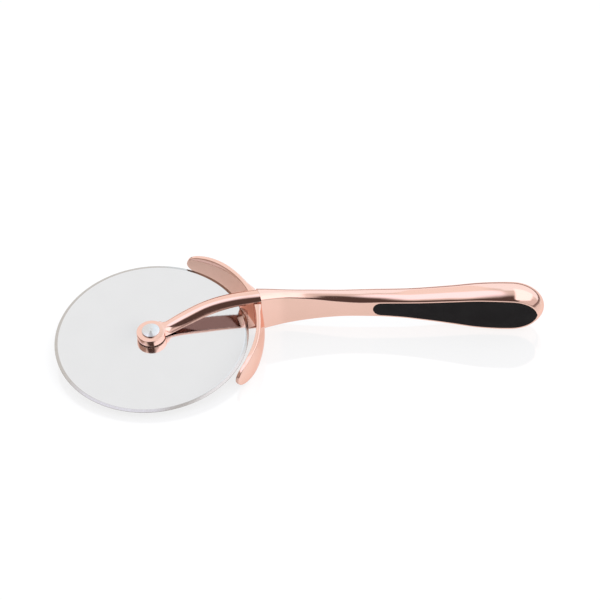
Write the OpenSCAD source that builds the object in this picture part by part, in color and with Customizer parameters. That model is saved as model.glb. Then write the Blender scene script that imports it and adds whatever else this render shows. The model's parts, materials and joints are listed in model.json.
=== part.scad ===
// Pizza cutter: a free-turning cutting wheel in a two-armed fork, with a crescent
// finger guard and an arched grip. The tool is drawn about its wheel (z along the axle,
// x towards the end of the grip) and then laid down as it rests on a table.

/* [Wheel] */
// Radius of the cutting wheel
blade_r = 49.5; // [44:0.5:56]
// Thickness of the wheel
blade_thick = 1.2; // [0.8:0.1:1.6]
// Width of the ground edge all round the rim
edge_w = 1.6; // [1:0.1:3]
// Thickness left at the very rim
edge_land = 0.3; // [0.2:0.05:0.5]

/* [Axle] */
// Radius of the rivet's shank
shank_r = 2; // [1.6:0.1:2.2]
// Wall of the sleeve that the wheel turns on
bush_wall = 1.2; // [1.1:0.1:1.5]
// Wall of the cap's collar round the shank
collar_wall = 0.6; // [0.4:0.1:0.8]
// Radius of each rivet head
rivet_head_r = 4.6; // [4:0.1:5]
// Height of each rivet head
rivet_head_h = 1.3; // [1:0.1:1.6]
// Radius of the thin washers beside the wheel
washer_r = 6; // [5:0.1:6.4]
// Thickness of each washer
washer_thick = 0.5; // [0.3:0.1:0.8]
// Radius of the ring at the hub end of each arm
hub_r = 7.3; // [6.6:0.1:8]
// Height of each hub ring
hub_h = 3.6; // [3:0.1:4.6]

/* [Fork] */
// Width of each arm
arm_w = 9.4; // [8:0.1:11]
// Width of each arm where it meets its hub ring
neck_w = 8.2; // [7:0.1:9]
// Thickness of each arm at mid length
arm_thick = 4.3; // [3.4:0.1:5]
// Height of the straight wall left below an arm's rounded back
arm_wall = 0.7; // [0.5:0.1:2]
// Half angle of the arc across that rounded back
arm_crown_angle = 65; // [30:1:75]
// Height of an arm's underside above the wheel's mid-plane at the guard
arm_rise = 9.1; // [8:0.1:9.6]
// Gap from the wheel's rim to the web that joins the arms
rim_gap = 1; // [0.8:0.1:1.8]
// Thickness of that web
web_thick = 3.4; // [2.4:0.1:4]
// Width of that web
web_w = 7.6; // [6:0.1:8]
// Radius of the gusset between the web and each arm
gusset_r = 4; // [2:0.1:5]

/* [Guard] */
// Thickness of the crescent guard at the fork
guard_thick = 3.9; // [3:0.1:5]
// How much thinner the guard is at its upper and lower edges than on its middle line
guard_crown = 1.5; // [0.4:0.1:1.8]
// Thickness of the guard at its tips
tip_thick = 1.9; // [1.4:0.1:2.8]
// Half width of the guard where its tips start to round off
tip_half_w = 5.9; // [4:0.1:7.4]
// How far the guard's tips bend in from its arc
tip_bend = 0.9; // [0:0.1:1.5]
// Angle from the fork to each tip
guard_angle = 53.6; // [45:0.1:60]

/* [Grip] */
// Distance from the axle to the end of the grip
reach = 200.8; // [180:0.2:220]
// Sideways arch of the tool, from the line that joins its ends
arch = 13.7; // [11:0.1:16]
// Half thickness between the flat sides where the grip is thickest
bulb_half_t = 6.8; // [6:0.1:8]
// Half height of the grip where it is tallest
bulb_half_h = 13.3; // [11:0.1:14.6]
// Half thickness between the flat sides at the waist
waist_half_t = 4.8; // [4.4:0.1:5.4]
// Half height of the grip at the waist
waist_half_h = 7.5; // [6.6:0.1:8]
// Half thickness between the flat sides at the thin neck
neck_half_t = 3.1; // [3:0.1:3.8]
// Half height of the grip at the guard
root_half_h = 12.4; // [11.8:0.1:13]

/* [Inlay] */
// Thickness of each soft inlay
inlay_thick = 1.5; // [1.2:0.1:1.8]
// How far each inlay stands out of its flat side
inlay_proud = 0.15; // [0:0.05:0.3]
// Margin of metal left round each inlay
inlay_margin = 0.8; // [0.4:0.1:1.2]
// Radius of the pegs behind each inlay
peg_r = 1.2; // [0.8:0.1:1.4]
// Length of those pegs
peg_len = 1.6; // [1:0.1:1.8]

/* [Tang] */
// Thickness of the fork's tang
tang_thick = 2.2; // [1.8:0.1:2.4]
// Half height of the tang
tang_half_h = 4; // [3:0.1:4.4]
// Radius of the pin that locks the tang in the grip
pin_r = 1.5; // [1:0.1:1.6]

/* [Hidden] */
$fn = 96;

// Clearances: a running fit, a press or slip fit, a seat face, and a gap beside the wheel
run_gap = 0.05;
fit_gap = 0.02;
seat_gap = 0.05;
side_gap = 0.1;
// Length by which a cut passes a face
over = 1;

// Stack along the axle, from the wheel's mid-plane outwards
bush_r = shank_r + fit_gap + bush_wall;
collar_r = shank_r + fit_gap + collar_wall;
washer_z = blade_thick / 2 + side_gap;
ring_in_z = washer_z + washer_thick;
ring_out_z = ring_in_z + hub_h;
// Height of a head's straight wall, of the dimple at its crown, and the dimple's radius
head_wall_share = 0.55;
dimple_depth = 0.2;
dimple_r = 0.45;
// Skin of the cap over the shank's end, and the collar's short end gap
cap_skin = 0.6;
collar_len = hub_h - side_gap;

// Guard: its radii, and its half width at the fork, where it slips in between the arms
web_r = blade_r + rim_gap;
guard_in_r = web_r + web_thick;
guard_out_r = guard_in_r + guard_thick;
guard_half_w = arm_rise - side_gap;

// Cubic through a table of [place, value] rows, with the slope at each row
function row_slope(t, i) = i == 0 ? (t[1][1] - t[0][1]) / (t[1][0] - t[0][0])
    : i == len(t) - 1 ? (t[i][1] - t[i - 1][1]) / (t[i][0] - t[i - 1][0])
    : (t[i + 1][1] - t[i - 1][1]) / (t[i + 1][0] - t[i - 1][0]);
function row_before(t, x, i = 0) = i >= len(t) - 2 || x < t[i + 1][0] ? i : row_before(t, x, i + 1);
function blend(a, b, ma, mb, w, s) = (2 * s ^ 3 - 3 * s ^ 2 + 1) * a + (s ^ 3 - 2 * s ^ 2 + s) * w * ma
    + (3 * s ^ 2 - 2 * s ^ 3) * b + (s ^ 3 - s ^ 2) * w * mb;
function smooth(t, x) = let(i = row_before(t, x), w = t[i + 1][0] - t[i][0])
    blend(t[i][1], t[i + 1][1], row_slope(t, i), row_slope(t, i + 1), w, (x - t[i][0]) / w);

// Sideways arch of the whole tool: [share of the reach, share of the arch]
arch_shares = [[0, 0], [0.085, 0.52], [0.175, 0.86], [0.285, 0.985], [0.36, 1], [0.45, 0.965],
               [0.575, 0.805], [0.7, 0.535], [0.825, 0.26], [0.91, 0.095], [1, -0.05]];
function side_at(x) = arch * smooth(arch_shares, x / reach);
slope_share = 0.001;
slope_step = reach * slope_share;
function heading(x) = atan2(side_at(x + slope_step) - side_at(x - slope_step), 2 * slope_step);
// Point beside the middle line at place x, at distance d to its left
function beside(x, d) = [x - d * sin(heading(x)), side_at(x) + d * cos(heading(x))];

// Direction from the axle to the fork's root, and the place where the tool crosses radius r
fork_at = guard_in_r * cos(atan2(side_at(guard_in_r), guard_in_r));
fork_heading = atan2(side_at(fork_at), fork_at);
function place_at(r) = r * cos(fork_heading);

// Grip sections between the guard and the end dome. Each row of a table is a place, as a
// share of the reach, and how far the size has gone from one named size to the next.
dome_x_share = 0.915;
dome_x = dome_x_share * reach;
// Half thickness between the flat sides, from the neck's to the waist's
neck_shares = [[0.27, 0.8], [0.31, 0.35], [0.35, 0], [0.4, 0.1], [0.475, 0.6], [0.54, 1],
               [0.6, 1], [1, 1]];
// The same, from the waist's to the bulb's
swell_t_shares = [[0.27, 0], [0.54, 0], [0.64, 0.05], [0.7, 0.22], [0.765, 0.42], [0.83, 0.7],
                  [0.89, 0.92], [0.94, 1], [1, 1]];
// Half height of the crown, from the waist's to the root's
taper_shares = [[0.27, 1], [0.31, 0.82], [0.35, 0.62], [0.4, 0.36], [0.475, 0.11], [0.54, 0],
                [0.6, 0], [1, 0]];
// The same, from the waist's to the bulb's
swell_h_shares = [[0.27, 0], [0.54, 0], [0.64, 0.03], [0.7, 0.25], [0.765, 0.56], [0.83, 0.86],
                  [0.89, 0.99], [0.94, 1], [1, 1]];
// Half height of the flat side, as a share of the crown's
flat_height_shares = [[0.27, 0.89], [0.31, 0.887], [0.35, 0.885], [0.4, 0.85], [0.44, 0.775],
                      [0.475, 0.69], [0.51, 0.645], [0.54, 0.645], [0.59, 0.7], [0.64, 0.755],
                      [0.7, 0.772], [0.765, 0.792], [0.83, 0.82], [0.89, 0.806], [0.94, 0.776],
                      [1, 0.776]];

// Below dome_x a section keeps its size; past it the section shrinks like a dome
function dome_scale(x) = x <= dome_x ? 1 : sqrt(max(0, 1 - ((x - dome_x) / (reach - dome_x)) ^ 2));
function body_x(x) = min(x, dome_x);
function flat_t(x) = neck_half_t + (waist_half_t - neck_half_t) * smooth(neck_shares, x / reach)
    + (bulb_half_t - waist_half_t) * smooth(swell_t_shares, x / reach);
function full_h(x) = waist_half_h + (root_half_h - waist_half_h) * smooth(taper_shares, x / reach)
    + (bulb_half_h - waist_half_h) * smooth(swell_h_shares, x / reach);
function crown_h(x) = full_h(body_x(x)) * dome_scale(x);
// Half thickness that the rounded section would have without its flat sides
function round_t(x) = let(b = body_x(x))
    flat_t(b) / sqrt(1 - smooth(flat_height_shares, b / reach) ^ 2) * dome_scale(x);
// Part of the rounded section's half thickness that the flat sides leave, kept just under all of it
flat_limit_share = 0.985;
function flat_share(x) = min(flat_limit_share, flat_t(x) / round_t(x));
// Half thickness and half height of the flat side at place x
function side_t(x) = round_t(x) * flat_share(x);
function flat_h(x) = crown_h(x) * sqrt(1 - flat_share(x) ^ 2);

function backwards(points) = [for (i = [len(points) - 1 : -1 : 0]) points[i]];

// Closed skin over equal rings of points, listed along the piece
module skin(rings) {
    n = len(rings[0]);
    m = len(rings);
    sides = [for (i = [0 : m - 2], j = [0 : n - 1]) let(k = (j + 1) % n)
        each [[i * n + j, (i + 1) * n + k, i * n + k], [i * n + j, (i + 1) * n + j, (i + 1) * n + k]]];
    first = [[for (j = [0 : n - 1]) j]];
    last = [[for (j = [0 : n - 1]) m * n - 1 - j]];
    polyhedron(points = [for (r = rings) each r], faces = concat(sides, first, last), convexity = 6);
}

// Point of a section at place x: d to the left of the middle line, z up
function placed(x, d, z) = [beside(x, d)[0], beside(x, d)[1], z];

// One grip section: a crown arc above, a crown arc below and a flat side between them
crown_steps = 10;
function crown_arc(x, up, turn) = let(t = turn * asin(flat_share(x)))
    [for (k = [0 : crown_steps]) let(a = t * (2 * k / crown_steps - 1))
        placed(x, round_t(x) * sin(a), up * crown_h(x) * cos(a))];
function grip_ring(x) = concat(crown_arc(x, -1, 1), crown_arc(x, 1, -1));

// One arm section: a flat inner face with eased corners, low straight walls and a rounded
// back; side = 1 above the wheel, -1 below it. s runs from the axle to the guard's outer face.
arm_steps = 12;
arm_ease = 0.5;
// The arms end flush with the grip's root in height and width
root_x = place_at(guard_out_r);
root_top = crown_h(root_x);
arm_rise_shares = [[0, 0], [0.14, 0], [0.3, 0.24], [0.5, 0.585], [0.75, 0.86], [1, 1]];
arm_w_shares = [[0, 0], [0.16, 0], [0.32, 0.75], [0.5, 1], [1, 1]];
arm_mid_shares = [[0, 0], [0.16, 0], [0.5, 1], [1, 1]];
arm_end_shares = [[0, 0], [0.5, 0], [1, 1]];
// Beside the hub ring the back is nearly flat, and then it breaks to its full roundness
arm_crown_shares = [[0, 0.03], [0.12, 0.03], [0.14, 0.3], [0.165, 0.75], [0.2, 1], [1, 1]];
function arm_under(s) = ring_in_z + (arm_rise - ring_in_z) * smooth(arm_rise_shares, s);
function arm_depth(s) = hub_h + (arm_thick - hub_h) * smooth(arm_mid_shares, s)
    + (root_top - arm_rise - arm_thick) * smooth(arm_end_shares, s);
function arm_half(s) = (neck_w + (arm_w - neck_w) * smooth(arm_w_shares, s)) / 2
    + (side_t(root_x) - arm_w / 2) * smooth(arm_end_shares, s);
function arm_ring(s, side) = let(x = s * root_x, half = arm_half(s), low = arm_under(s),
        depth = arm_depth(s), drop = (depth - arm_wall) * smooth(arm_crown_shares, s))
    concat([placed(x, -side * half, side * (low + arm_ease)),
            placed(x, side * (arm_ease - half), side * low),
            placed(x, side * (half - arm_ease), side * low),
            placed(x, side * half, side * (low + arm_ease))],
           [for (k = [0 : arm_steps]) let(a = arm_crown_angle * (1 - 2 * k / arm_steps))
               placed(x, side * half * sin(a) / sin(arm_crown_angle),
                      side * (low + depth - drop * (1 - cos(a)) / (1 - cos(arm_crown_angle))))]);

// Tang: a flat bar on a straight line inside the arched neck of the grip
tang_offset_share = 0.12;
tang_from = beside(place_at(guard_in_r), tang_offset_share * waist_half_t);
tang_end_share = 0.65;
tang_to = beside(tang_end_share * reach, 0);
tang_len = norm(tang_to - tang_from);
tang_heading = atan2(tang_to[1] - tang_from[1], tang_to[0] - tang_from[0]);
pin_share = 0.61;
pin_x = pin_share * reach;

// Inlay: where its front end stands, and the pegs along it
inlay_from_share = 0.5695;
inlay_x = inlay_from_share * reach;
peg_shares = [0.69, 0.79, 0.89];
inlay_steps = 24;
inlay_arc_steps = 8;

// Blade

module blade() {
    bore = bush_r + run_gap;
    color("gainsboro")
    rotate_extrude()
    polygon([[bore, -blade_thick / 2], [blade_r - edge_w, -blade_thick / 2], [blade_r, -edge_land / 2],
             [blade_r, edge_land / 2], [blade_r - edge_w, blade_thick / 2], [bore, blade_thick / 2]]);
}

// Axle pieces

module tube(r_out, r_in, z_from, z_to) {
    rotate_extrude()
    polygon([[r_in, z_from], [r_out, z_from], [r_out, z_to], [r_in, z_to]]);
}

module axle_bush() {
    color("goldenrod")
    tube(bush_r, shank_r + fit_gap, -ring_in_z, ring_in_z);
}

module washer() {
    color("ivory")
    tube(washer_r, bush_r + run_gap, washer_z, ring_in_z);
}

module upper_washer() {
    washer();
}

module lower_washer() {
    mirror([0, 0, 1])
    washer();
}

// Outline of a rivet head on its ring, from its foot up its wall and in to the axis
head_top_z = ring_out_z + rivet_head_h;
head_points = [[rivet_head_r, ring_out_z], [rivet_head_r, ring_out_z + rivet_head_h * head_wall_share],
               [dimple_r, head_top_z], [0, head_top_z - dimple_depth]];
shank_end_z = head_top_z - cap_skin - dimple_depth;

module axle_rivet() {
    color("silver")
    rotate_extrude()
    polygon(concat([[0, seat_gap - shank_end_z], [shank_r, seat_gap - shank_end_z], [shank_r, ring_out_z]],
                   head_points));
}

module rivet_cap() {
    hole = shank_r + fit_gap;
    color("silver")
    mirror([0, 0, 1])
    rotate_extrude()
    polygon(concat([[0, shank_end_z], [hole, shank_end_z], [hole, ring_out_z - collar_len],
                    [collar_r, ring_out_z - collar_len], [collar_r, ring_out_z]], head_points));
}

// Fork head

arm_rings = 16;
// Places of the first rings: inside the hub ring and along the break of the arm's back
neck_places = [0.06, 0.12, 0.14, 0.165];
arm_from_share = 0.2;

module arm(side) {
    body_places = [for (i = [0 : arm_rings]) arm_from_share + (1 - arm_from_share) * i / arm_rings];
    skin([for (s = concat(neck_places, body_places)) arm_ring(s, side)]);
}

module hub_ring(side) {
    z = side > 0 ? ring_in_z : -ring_out_z;
    translate([0, 0, z])
    cylinder(r = hub_r, h = hub_h);
}

// Web across the crotch of the fork, with a rounded gusset under each arm
gusset_steps = 6;

module web() {
    low_r = web_r - gusset_r;
    top_z = arm_under(low_r / guard_out_r);
    seat_r = guard_in_r - seat_gap;
    seat_z = arm_under(seat_r / guard_out_r);
    upper = concat([[seat_r, 0], [seat_r, seat_z + arm_wall / 2], [low_r, top_z + arm_wall / 2]],
        [for (i = [gusset_steps : -1 : 0]) let(a = 90 * i / gusset_steps)
            [low_r + gusset_r * cos(a), top_z - gusset_r + gusset_r * sin(a)]], [[web_r, 0]]);
    intersection() {
        union() {
            rotate_extrude()
            polygon(upper);
            mirror([0, 0, 1])
            rotate_extrude()
            polygon(upper);
        }
        rotate([0, 0, fork_heading])
        translate([0, -web_w / 2, -2 * arm_rise])
        cube([guard_out_r, web_w, 4 * arm_rise]);
    }
}

// The tang's own bar, grown by a clearance on every side but its front
module tang_bar(grow) {
    translate([tang_from[0], tang_from[1], 0])
    rotate([0, 0, tang_heading])
    translate([-web_thick / 2, -tang_thick / 2 - grow, -tang_half_h - grow])
    cube([tang_len + web_thick / 2 + grow, tang_thick + 2 * grow, 2 * (tang_half_h + grow)]);
}

// Round bar across the tool at place x, between two distances beside the middle line
module cross_bar(x, r, d_from, d_to) {
    p = beside(x, d_from);
    translate([p[0], p[1], 0])
    rotate([0, 0, heading(x)])
    rotate([-90, 0, 0])
    cylinder(r = r, h = d_to - d_from);
}

module fork_head() {
    color("lightsalmon")
    difference() {
        union() {
            intersection() {
                union() {
                    arm(1);
                    arm(-1);
                }
                cylinder(r = guard_out_r, h = 4 * root_half_h, center = true);
            }
            web();
            hub_ring(1);
            hub_ring(-1);
            tang_bar(0);
        }
        tube(hub_r + over, shank_r, -ring_in_z, ring_in_z);
        cylinder(r = shank_r + fit_gap, h = 4 * ring_out_z, center = true);
        translate([0, 0, -ring_out_z - over])
        cylinder(r = collar_r + fit_gap, h = collar_len + over + seat_gap);
        cross_bar(pin_x, pin_r + fit_gap, -arm_w, arm_w);
    }
}

// Guard

guard_rings = 48;
guard_ease = 0.7;
ease_limit_share = 0.9;
ease_steps = 3;
// Part of the way to a tip where the tip starts to round off
tip_share = 0.86;
// The guard's width and thickness, from their size at the tip to their size at the fork
guard_w_shares = [[0, 1], [0.2, 0.98], [0.4, 0.92], [0.6, 0.78], [0.75, 0.52], [0.86, 0.14],
                  [0.92, 0], [1, 0]];
guard_t_shares = [[0, 1], [0.2, 0.98], [0.4, 0.92], [0.6, 0.8], [0.8, 0.5], [0.9, 0.26], [1, 0]];
// The share of the crown; the outer face is straight where the arms and the grip meet it
guard_crown_shares = [[0, 0], [0.1, 0], [0.22, 1], [0.6, 0.9], [1, 0.6]];
// Heights of the points across the crowned face, as shares of the half width
crown_face_shares = [-0.75, -0.5, -0.25, 0, 0.25, 0.5, 0.75];
bend_power = 4;
function tip_round(s) = s < tip_share ? 1 : sqrt(max(0, 1 - ((s - tip_share) / (1 - tip_share)) ^ 2));
function guard_half(s) = tip_round(s)
    * (tip_half_w + (guard_half_w - tip_half_w) * smooth(guard_w_shares, s));
function guard_depth(s) = tip_thick + (guard_thick - tip_thick) * smooth(guard_t_shares, s);
function crown_drop(s, z) = guard_crown * smooth(guard_crown_shares, s) * (z / guard_half_w) ^ 2;
function guard_in(s) = guard_in_r - tip_bend * s ^ bend_power;

// One quarter round of an eased corner at radius r and height h
function eased(r, h, e, from) = [for (k = [0 : ease_steps]) let(a = from + 90 * k / ease_steps)
    [r + e * cos(a), h + e * sin(a)]];
// Guard section at angle a from the fork, as points of radius and height
function guard_section(a) = let(s = abs(a) / guard_angle, h = guard_half(s), r = guard_in(s),
        t = guard_depth(s), edge_t = t - crown_drop(s, h),
        e = min(guard_ease, ease_limit_share * min(h, edge_t / 2)))
    concat(eased(r + edge_t - e, h - e, e, 0), eased(r + e, h - e, e, 90),
           eased(r + e, e - h, e, 180), eased(r + edge_t - e, e - h, e, 270),
           [for (k = crown_face_shares) [r + t - crown_drop(s, k * h), k * (h - e)]]);
function guard_ring(a) = let(b = a + fork_heading)
    [for (p = guard_section(a)) [p[0] * cos(b), p[0] * sin(b), p[1]]];
// Angles crowd towards the tips, where the outline turns fastest
end_share = 0.998;
function guard_turn(u) = guard_angle * end_share * sin(90 * u);

module guard() {
    color("salmon")
    difference() {
        skin([for (i = [0 : guard_rings]) guard_ring(guard_turn(1 - 2 * i / guard_rings))]);
        tang_bar(seat_gap);
    }
}

// Grip

// Place where the flat side's half height has shrunk to the margin
function inlay_end_x(margin) = dome_x + (reach - dome_x)
    * sqrt(1 - (flat_t(dome_x) / round_t(dome_x)) ^ 2 - (margin / crown_h(dome_x)) ^ 2);
// Outline of an inlay seen square to the flat side, from its round front end along its upper
// edge: side = -1 towards the front, 1 the back
function inlay_front(side, margin, x0, r) = [for (i = [0 : inlay_arc_steps - 1])
    let(a = 90 * i / inlay_arc_steps) [beside(x0 + r * (1 - cos(a)), side * side_t(x0))[0], r * sin(a)]];
function inlay_upper(side, margin, x0, x1) = [for (i = [0 : inlay_steps])
    let(x = x0 + (x1 - x0) * sin(90 * i / inlay_steps))
    [beside(x, side * side_t(x))[0], max(0, flat_h(x) - margin)]];
function inlay_edge(side, margin) = let(x0 = inlay_x - inlay_margin + margin,
        r = flat_h(inlay_x + waist_half_t) - margin)
    concat(inlay_front(side, margin, x0, r), inlay_upper(side, margin, x0 + r, inlay_end_x(margin)));

module inlay_outline(side, margin) {
    edge = inlay_edge(side, margin);
    last = len(edge) - 1;
    translate([0, 2 * arch, 0])
    rotate([90, 0, 0])
    linear_extrude(height = 4 * arch)
    polygon(concat(edge, [for (i = [last - 1 : -1 : 1]) [edge[i][0], -edge[i][1]]]));
}

// Strip beside the middle line, between two offsets from the flat side, at full height
module side_strip(side, inner, outer) {
    from = inlay_x - waist_half_h;
    places = [for (i = [0 : 2 * inlay_steps]) from + (reach - from) * i / (2 * inlay_steps)];
    translate([0, 0, -2 * bulb_half_h])
    linear_extrude(height = 4 * bulb_half_h)
    polygon(concat([for (x = places) beside(x, side * (flat_t(x) + outer))],
                   backwards([for (x = places) beside(x, side * (flat_t(x) + inner))])));
}

module inlay(side) {
    color([0.16, 0.14, 0.14])
    union() {
        intersection() {
            inlay_outline(side, inlay_margin);
            side_strip(side, -inlay_thick, inlay_proud);
        }
        for (s = peg_shares)
        peg(s * reach, side, peg_r, peg_len);
    }
}

// Peg behind an inlay, from inside the inlay to a depth below its back
module peg(x, side, r, depth) {
    top = flat_t(x) - inlay_thick / 2;
    low = flat_t(x) - inlay_thick - depth;
    cross_bar(x, r, side > 0 ? low : -top, side > 0 ? top : -low);
}

module front_inlay() {
    inlay(-1);
}

module back_inlay() {
    inlay(1);
}

module inlay_pocket(side) {
    intersection() {
        inlay_outline(side, inlay_margin - seat_gap);
        side_strip(side, -inlay_thick - seat_gap, over);
    }
    for (s = peg_shares)
    peg(s * reach, side, peg_r + fit_gap, peg_len + seat_gap);
}

grip_rings = 40;
dome_rings = 9;
dome_end_share = 0.978;

module handle() {
    from = place_at(guard_in_r);
    body = [for (i = [0 : grip_rings]) from + (dome_x - from) * i / grip_rings];
    dome = [for (i = [1 : dome_rings])
        dome_x + (reach - dome_x) * sin(90 * dome_end_share * i / dome_rings)];
    color("salmon")
    difference() {
        skin([for (x = concat(body, dome)) grip_ring(x)]);
        cylinder(r = guard_out_r + seat_gap, h = 4 * root_half_h, center = true);
        tang_bar(seat_gap);
        inlay_pocket(-1);
        inlay_pocket(1);
        cross_bar(pin_x, pin_r + fit_gap, -waist_half_h, waist_half_h);
    }
}

module tang_pin() {
    half = flat_t(pin_x) - inlay_thick - side_gap;
    color("darkgray")
    cross_bar(pin_x, pin_r, -half, half);
}

// Resting pose: the table touches the grip's bulb, its root and the guard's near edge

// Lowest point of the grip's rounded section at place x, for the up direction u
function under(x, u) = let(t = round_t(x), h = crown_h(x), s = sqrt((t * u[1]) ^ 2 + (h * u[2]) ^ 2))
    [x, side_at(x) - t ^ 2 * u[1] / s, -h ^ 2 * u[2] / s];
function up_through(a, b, c) = let(n = cross(b - a, c - a)) n * sign(n[2]) / norm(n);
// Point of the guard's near edge at share s of its angle, and the steepness from the grip's
// root to it: the table meets the edge where that is least
function edge_point(s) = let(b = fork_heading - s * guard_angle,
        r = guard_in(s) + guard_depth(s) - crown_drop(s, guard_half(s)) - guard_ease)
    [r * cos(b), r * sin(b), -guard_half(s)];
function edge_slope(s) = (root_top + edge_point(s)[2]) / (side_at(root_x) - edge_point(s)[1]);
edge_shares = [for (s = [0.4 : 0.02 : 0.96]) s];
edge_slopes = [for (s = edge_shares) edge_slope(s)];
near_edge = edge_point(edge_shares[search(min(edge_slopes), edge_slopes)[0]]);
function rest_up(u) = up_through(under(root_x, u), under(dome_x, u), near_edge);
up = rest_up(rest_up([0, 0, 1]));
floor_z = near_edge * up;
lean = acos(up[2]);
lean_axis = cross(up, [0, 0, 1]);

// Turn a point as the tool is turned, to find the footprint
function turned(p) = let(k = lean_axis / norm(lean_axis))
    p * cos(lean) + cross(k, p) * sin(lean) + k * (k * p) * (1 - cos(lean));
axle_dir = turned([0, 0, 1]);
tip_heading = fork_heading + guard_angle;
far_tip = turned((guard_in_r + tip_thick) * [cos(tip_heading), sin(tip_heading), 0]);
x_low = -blade_r * sqrt(1 - axle_dir[0] ^ 2);
x_high = turned([reach, 0, 0])[0];
y_low = -blade_r * sqrt(1 - axle_dir[1] ^ 2);
y_high = far_tip[1];
wheel_at = [-(x_low + x_high) / 2, -(y_low + y_high) / 2, -floor_z];
echo(wheel_at = wheel_at, axle_dir = axle_dir, lean = lean, up = up);

module as_it_lies() {
    translate(wheel_at)
    rotate(a = lean, v = lean_axis)
    children();
}

as_it_lies() blade();
as_it_lies() axle_bush();
as_it_lies() upper_washer();
as_it_lies() lower_washer();
as_it_lies() axle_rivet();
as_it_lies() rivet_cap();
as_it_lies() fork_head();
as_it_lies() guard();
as_it_lies() handle();
as_it_lies() front_inlay();
as_it_lies() back_inlay();
as_it_lies() tang_pin();
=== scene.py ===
"""Pizza cutter lying on a white table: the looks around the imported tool.

Shapes are worked out in the tool's own frame, in millimetres, with the wheel's centre at the
origin, z along the axle and x towards the end of the grip. They are then laid down as the axle lies.
"""

import json
import math

import bmesh
import bpy
import numpy as np
from mathutils import Matrix, Vector


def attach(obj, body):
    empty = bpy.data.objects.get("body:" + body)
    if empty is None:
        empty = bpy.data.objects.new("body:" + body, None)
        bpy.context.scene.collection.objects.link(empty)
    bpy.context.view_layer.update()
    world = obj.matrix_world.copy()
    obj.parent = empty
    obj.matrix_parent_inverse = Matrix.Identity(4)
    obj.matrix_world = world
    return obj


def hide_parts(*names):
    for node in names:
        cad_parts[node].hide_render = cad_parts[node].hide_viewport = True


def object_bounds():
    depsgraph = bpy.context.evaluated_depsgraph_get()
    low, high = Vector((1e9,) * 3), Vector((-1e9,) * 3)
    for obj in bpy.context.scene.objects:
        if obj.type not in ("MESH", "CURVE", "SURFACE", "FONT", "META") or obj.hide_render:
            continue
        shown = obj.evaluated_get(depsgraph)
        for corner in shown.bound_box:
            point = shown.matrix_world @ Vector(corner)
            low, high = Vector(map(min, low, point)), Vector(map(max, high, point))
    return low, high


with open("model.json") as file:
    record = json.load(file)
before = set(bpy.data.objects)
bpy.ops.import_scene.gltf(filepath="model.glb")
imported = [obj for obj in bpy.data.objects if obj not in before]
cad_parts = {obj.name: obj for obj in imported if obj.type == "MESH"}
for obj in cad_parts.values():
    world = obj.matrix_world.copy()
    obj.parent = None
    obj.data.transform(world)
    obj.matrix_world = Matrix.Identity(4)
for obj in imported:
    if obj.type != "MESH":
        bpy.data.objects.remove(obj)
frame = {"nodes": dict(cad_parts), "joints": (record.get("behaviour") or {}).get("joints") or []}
cad_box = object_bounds()

# Sizes in millimetres
MM = 0.001
BLADE_R, BLADE_THICK, EDGE_W, EDGE_LAND = 49.5, 1.2, 1.6, 0.3
BORE_EASE, BEVEL_EASE, EDGE_EASE = 0.1, 0.2, 0.06
SHANK_R, BORE_R, COLLAR_R = 2.0, 3.27, 2.62
SHANK_TAPER_W, SHANK_TAPER_H = 0.3, 0.35
SHANK_END, COLLAR_END = 5.3, 1.3
RING_IN, RING_OUT, HUB_R = 1.2, 4.8, 7.3
RING_EASE_IN, RING_EASE_OUT = 0.25, 0.35
HEAD_R, HEAD_H, HEAD_WALL, DIMPLE_R, DIMPLE_DEPTH = 4.6, 1.3, 0.715, 0.45, 0.2
FOOT_W, FOOT_EASE, HEAD_EASE = 0.6, 0.12, 0.22
ARM_W, NECK_W, ARM_THICK, ARM_RISE, ARM_EASE = 9.4, 8.2, 4.3, 9.1, 0.5
ARM_WALL, ARM_CROWN = 0.7, math.radians(65)
ARM_SINK, FLAT_CORNER, CROWN_CORNER = 0.03, 0.02, 0.2
WEB_R, WEB_W, GUSSET_R = 50.5, 7.6, 4.0
GUARD_R, GUARD_THICK, TIP_THICK = 53.9, 3.9, 1.9
GUARD_CROWN, TIP_BEND = 1.5, 0.9
GUARD_HALF_W, TIP_HALF_W, GUARD_EASE = 9.0, 5.9, 0.45
GUARD_ANGLE = math.radians(53.6)
REACH, ARCH = 200.8, 13.7
BULB_T, BULB_H, WAIST_T, WAIST_H = 6.8, 13.3, 4.8, 7.5
NECK_T, ROOT_H, ROOT_FIT = 3.1, 12.4, 12.0
INLAY_THICK, INLAY_PROUD, INLAY_MARGIN, INLAY_EASE = 1.5, 0.15, 0.8, 0.22
TANG_THICK, TANG_HALF_H = 2.2, 4.0
FIT_GAP, SEAT_GAP = 0.02, 0.05
LEAST_RIM, LEAST_DROP, THIN, TINY = 0.05, 0.03, 1e-6, 1e-9
WELDS_PER_MM = 1e4

# Places as shares of the reach, of an arm's length, and of the way to a tip of the guard
DOME_SHARE, INLAY_SHARE, TANG_SHARE = 0.915, 0.5695, 0.65
ARM_START, SUNK_END, ARM_FREE, ARM_CROWNED, FIT_START, FIT_LONG = 0.075, 0.13, 0.15, 0.2, 0.85, 0.15
TIP_START, TIP_LONG = 0.86, 0.14
# Shares that shape the gusset, the web, the tang and its corners
GUSSET_ROUND, GUSSET_STRAIGHT, WEB_CROWDING = 0.4, 0.6, 1.6
TANG_SHIFT, TANG_CUT = 0.12, 0.08
# Largest shares that a flat side, a corner's cut, a crease, the guard's corner and a pocket may take
MOST_FLAT, MOST_CUT, MOST_CREASE, MOST_CORNER, MOST_POCKET = 0.985, 0.45, 0.6, 0.9, 0.97

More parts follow.
